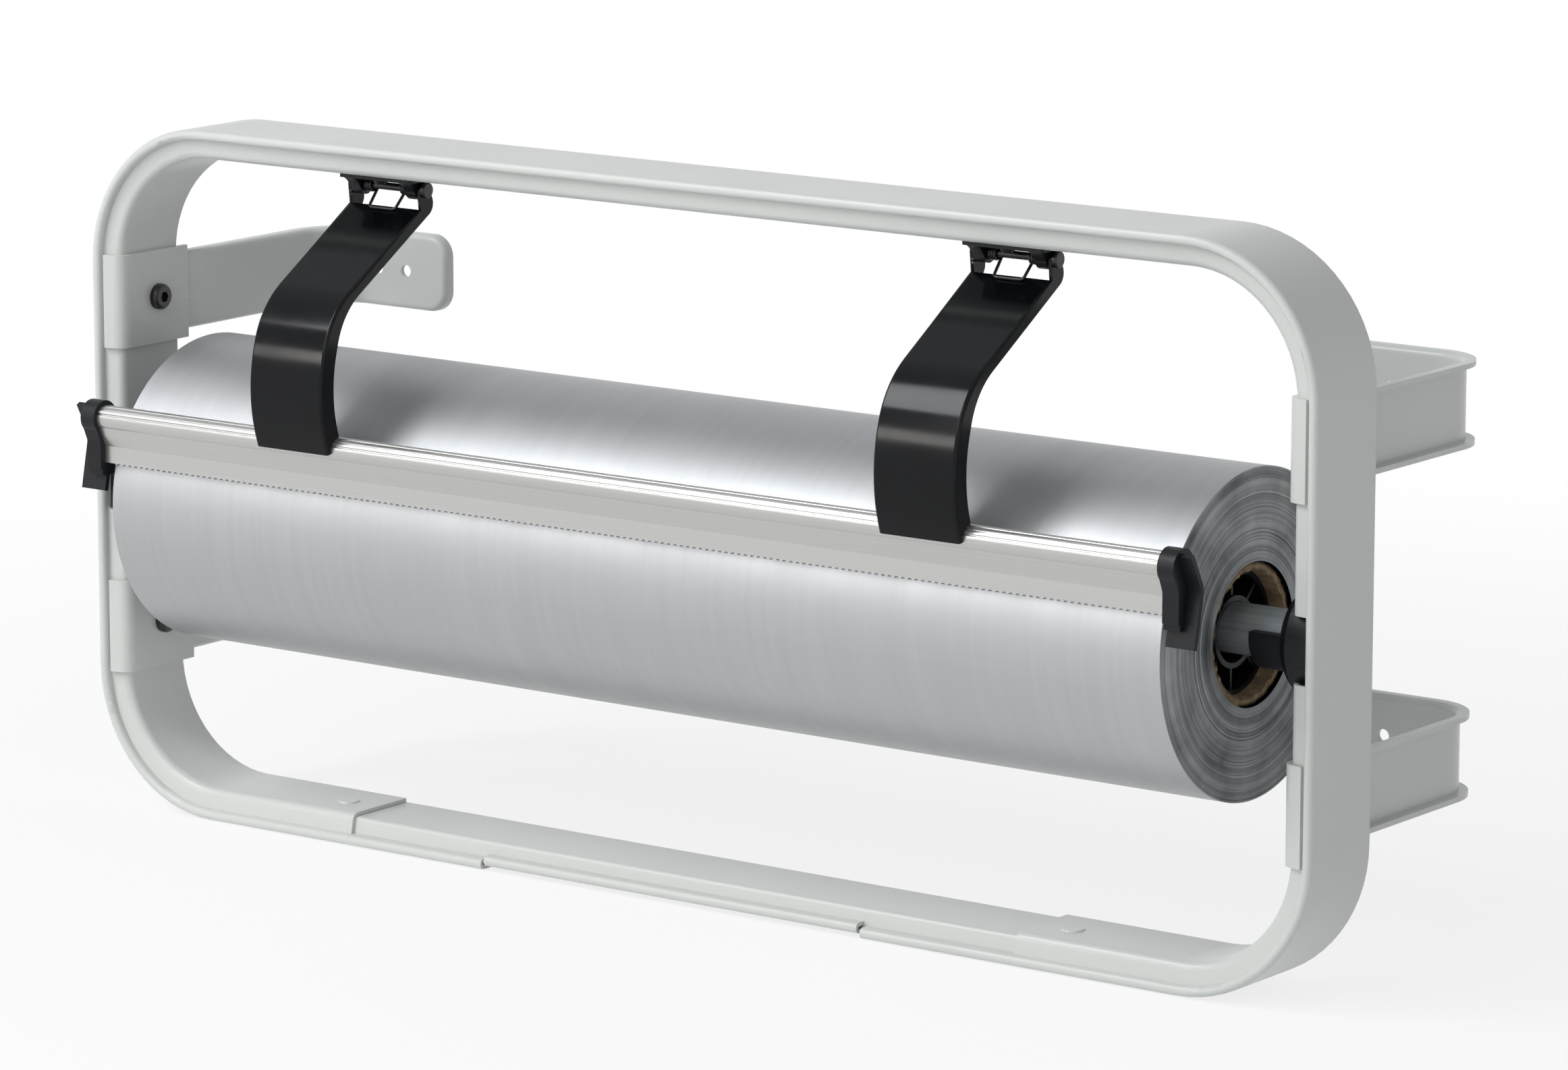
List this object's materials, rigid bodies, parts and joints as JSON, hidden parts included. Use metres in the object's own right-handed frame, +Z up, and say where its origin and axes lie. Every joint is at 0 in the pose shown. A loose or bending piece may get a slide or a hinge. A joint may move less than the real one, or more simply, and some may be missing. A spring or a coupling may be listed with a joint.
{
  "type": "wrapping paper dispenser and cutter",
  "caption": "Wall-mounted rounded hoop frame holding a wide wrapping paper roll on a shaft, with a sprung tear bar on curved hinged arms resting against the roll.",
  "frame": {"origin": "centre of the wall screw pattern, in the plane of the back of the bracket tabs' webs; the wall is 3.5 mm behind it", "axes": "+X along the roll to the right, +Y back to the wall, so the front faces -Y, +Z up"},
  "size_m": [0.584, 0.188, 0.282],
  "materials": {
    "frame_paint": "gloss powder coat",
    "arm_paint": "gloss black",
    "black_plastic": "matte, fine grain",
    "black_steel": "black oxide",
    "zinc": "zinc plated",
    "aluminium": "satin, lines along the bar",
    "blade_steel": "bright steel",
    "wrap": "matte metallic silver",
    "cardboard": "plain board"
  },
  "bodies": {
    "frame": {"frame_hoop": "frame_paint", "frame_splice": "frame_paint", "splice_rivets": "frame_paint", "bracket_upper_right": "frame_paint", "bracket_upper_left": "frame_paint", "bracket_lower_right": "frame_paint", "bracket_lower_left": "frame_paint", "bracket_screws": "black_steel", "bracket_nuts": "zinc", "bearing_right": "black_plastic", "bearing_left": "black_plastic", "hinge_block_right": "black_plastic", "hinge_block_left": "black_plastic", "hinge_screws": "black_steel", "hinge_nuts": "zinc", "hinge_pin_right": "black_steel", "hinge_pin_left": "black_steel"},
    "cutter": {"press_arm_right": "arm_paint", "press_arm_left": "arm_paint", "torsion_spring_right": "black_steel", "torsion_spring_left": "black_steel", "cutter_bar": "aluminium", "cutting_blade": "blade_steel", "end_cap_right": "black_plastic", "end_cap_left": "black_plastic"},
    "roll": {"paper_roll": "wrap", "roll_core": "cardboard", "core_plug_right": "black_plastic", "core_plug_left": "black_plastic"},
    "shaft": {"shaft": "zinc"}
  },
  "joints": [
    {"name": "cutter_hinge", "type": "hinge", "parent": "frame", "child": "cutter", "pos_m": [0, -0.12, 0.1238], "axis": [-1, 0, 0], "range_deg": [0, 50], "stiffness_Nm_per_rad": 0.5, "springref_deg": -34.38},
    {"name": "roll_spin", "type": "hinge", "parent": "frame", "child": "roll", "pos_m": [0, -0.1115, -0.0079], "axis": [1, 0, 0], "continuous": true},
    {"name": "shaft_spin", "type": "hinge", "parent": "frame", "child": "shaft", "pos_m": [0, -0.1115, -0.0062], "axis": [1, 0, 0], "continuous": true}
  ]
}
